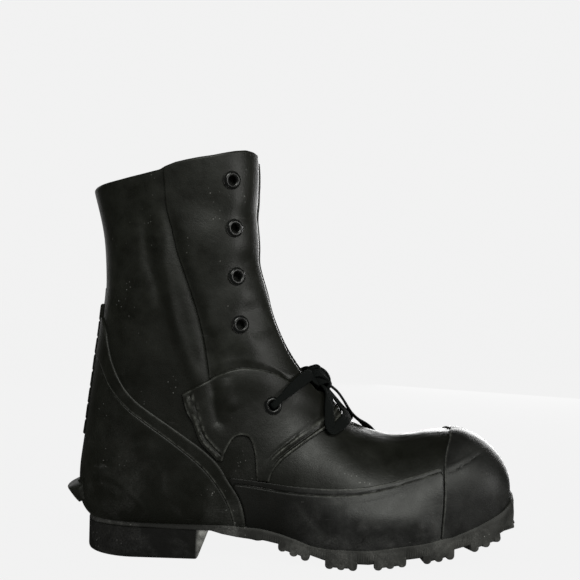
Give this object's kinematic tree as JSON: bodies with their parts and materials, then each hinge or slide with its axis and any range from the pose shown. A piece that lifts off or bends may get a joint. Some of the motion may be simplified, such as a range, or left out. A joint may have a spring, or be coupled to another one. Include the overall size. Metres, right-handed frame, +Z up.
{
  "type": "extreme cold weather boot",
  "caption": "Insulated all-rubber lace-up boot for the left foot, with a bulbous toe cap, a D-shaped heel, a ledge behind the heel, edge lugs and a lace tied through the lowest eyelets.",
  "frame": {"origin": "on the ground under the middle of the boot's box, laces left out", "axes": "+X towards the toe, -Y to the inner (medial) side, +Z up; the heel and the flat of the forefoot's lugs stand on z = 0"},
  "size_m": [0.3319, 0.128, 0.2946],
  "materials": {
    "black_rubber": "satin black moulded rubber",
    "foxing_rubber": "satin black rubber, a little dusty",
    "sole_rubber": "matt, worn black rubber",
    "insole_felt": "dark pressed felt",
    "black_enamel": "glossy black enamel on metal",
    "black_braid": "matt black flat braid"
  },
  "bodies": {
    "root": {"upper": "black_rubber", "tongue": "black_rubber", "insole": "insole_felt", "outsole": "sole_rubber", "heel_block": "sole_rubber", "heel_ledge": "black_rubber", "heel_counter": "black_rubber", "counter_binding_inner": "black_rubber", "counter_binding_outer": "black_rubber", "back_strip": "black_rubber", "toe_cap": "black_rubber", "foxing_inner": "foxing_rubber", "foxing_outer": "foxing_rubber", "ankle_patch_inner": "black_rubber", "ankle_patch_outer": "black_rubber", "eyelet_stay_inner": "black_rubber", "eyelet_stay_outer": "black_rubber", "eyelet_inner_1": "black_enamel", "eyelet_inner_2": "black_enamel", "eyelet_inner_3": "black_enamel", "eyelet_inner_4": "black_enamel", "eyelet_inner_5": "black_enamel", "eyelet_outer_1": "black_enamel", "eyelet_outer_2": "black_enamel", "eyelet_outer_3": "black_enamel", "eyelet_outer_4": "black_enamel", "eyelet_outer_5": "black_enamel", "lace_run": "black_braid", "lace_knot": "black_braid", "lace_loop_inner": "black_braid", "lace_loop_outer": "black_braid", "lace_end_long": "black_braid", "lace_end_short": "black_braid"}
  },
  "joints": []
}
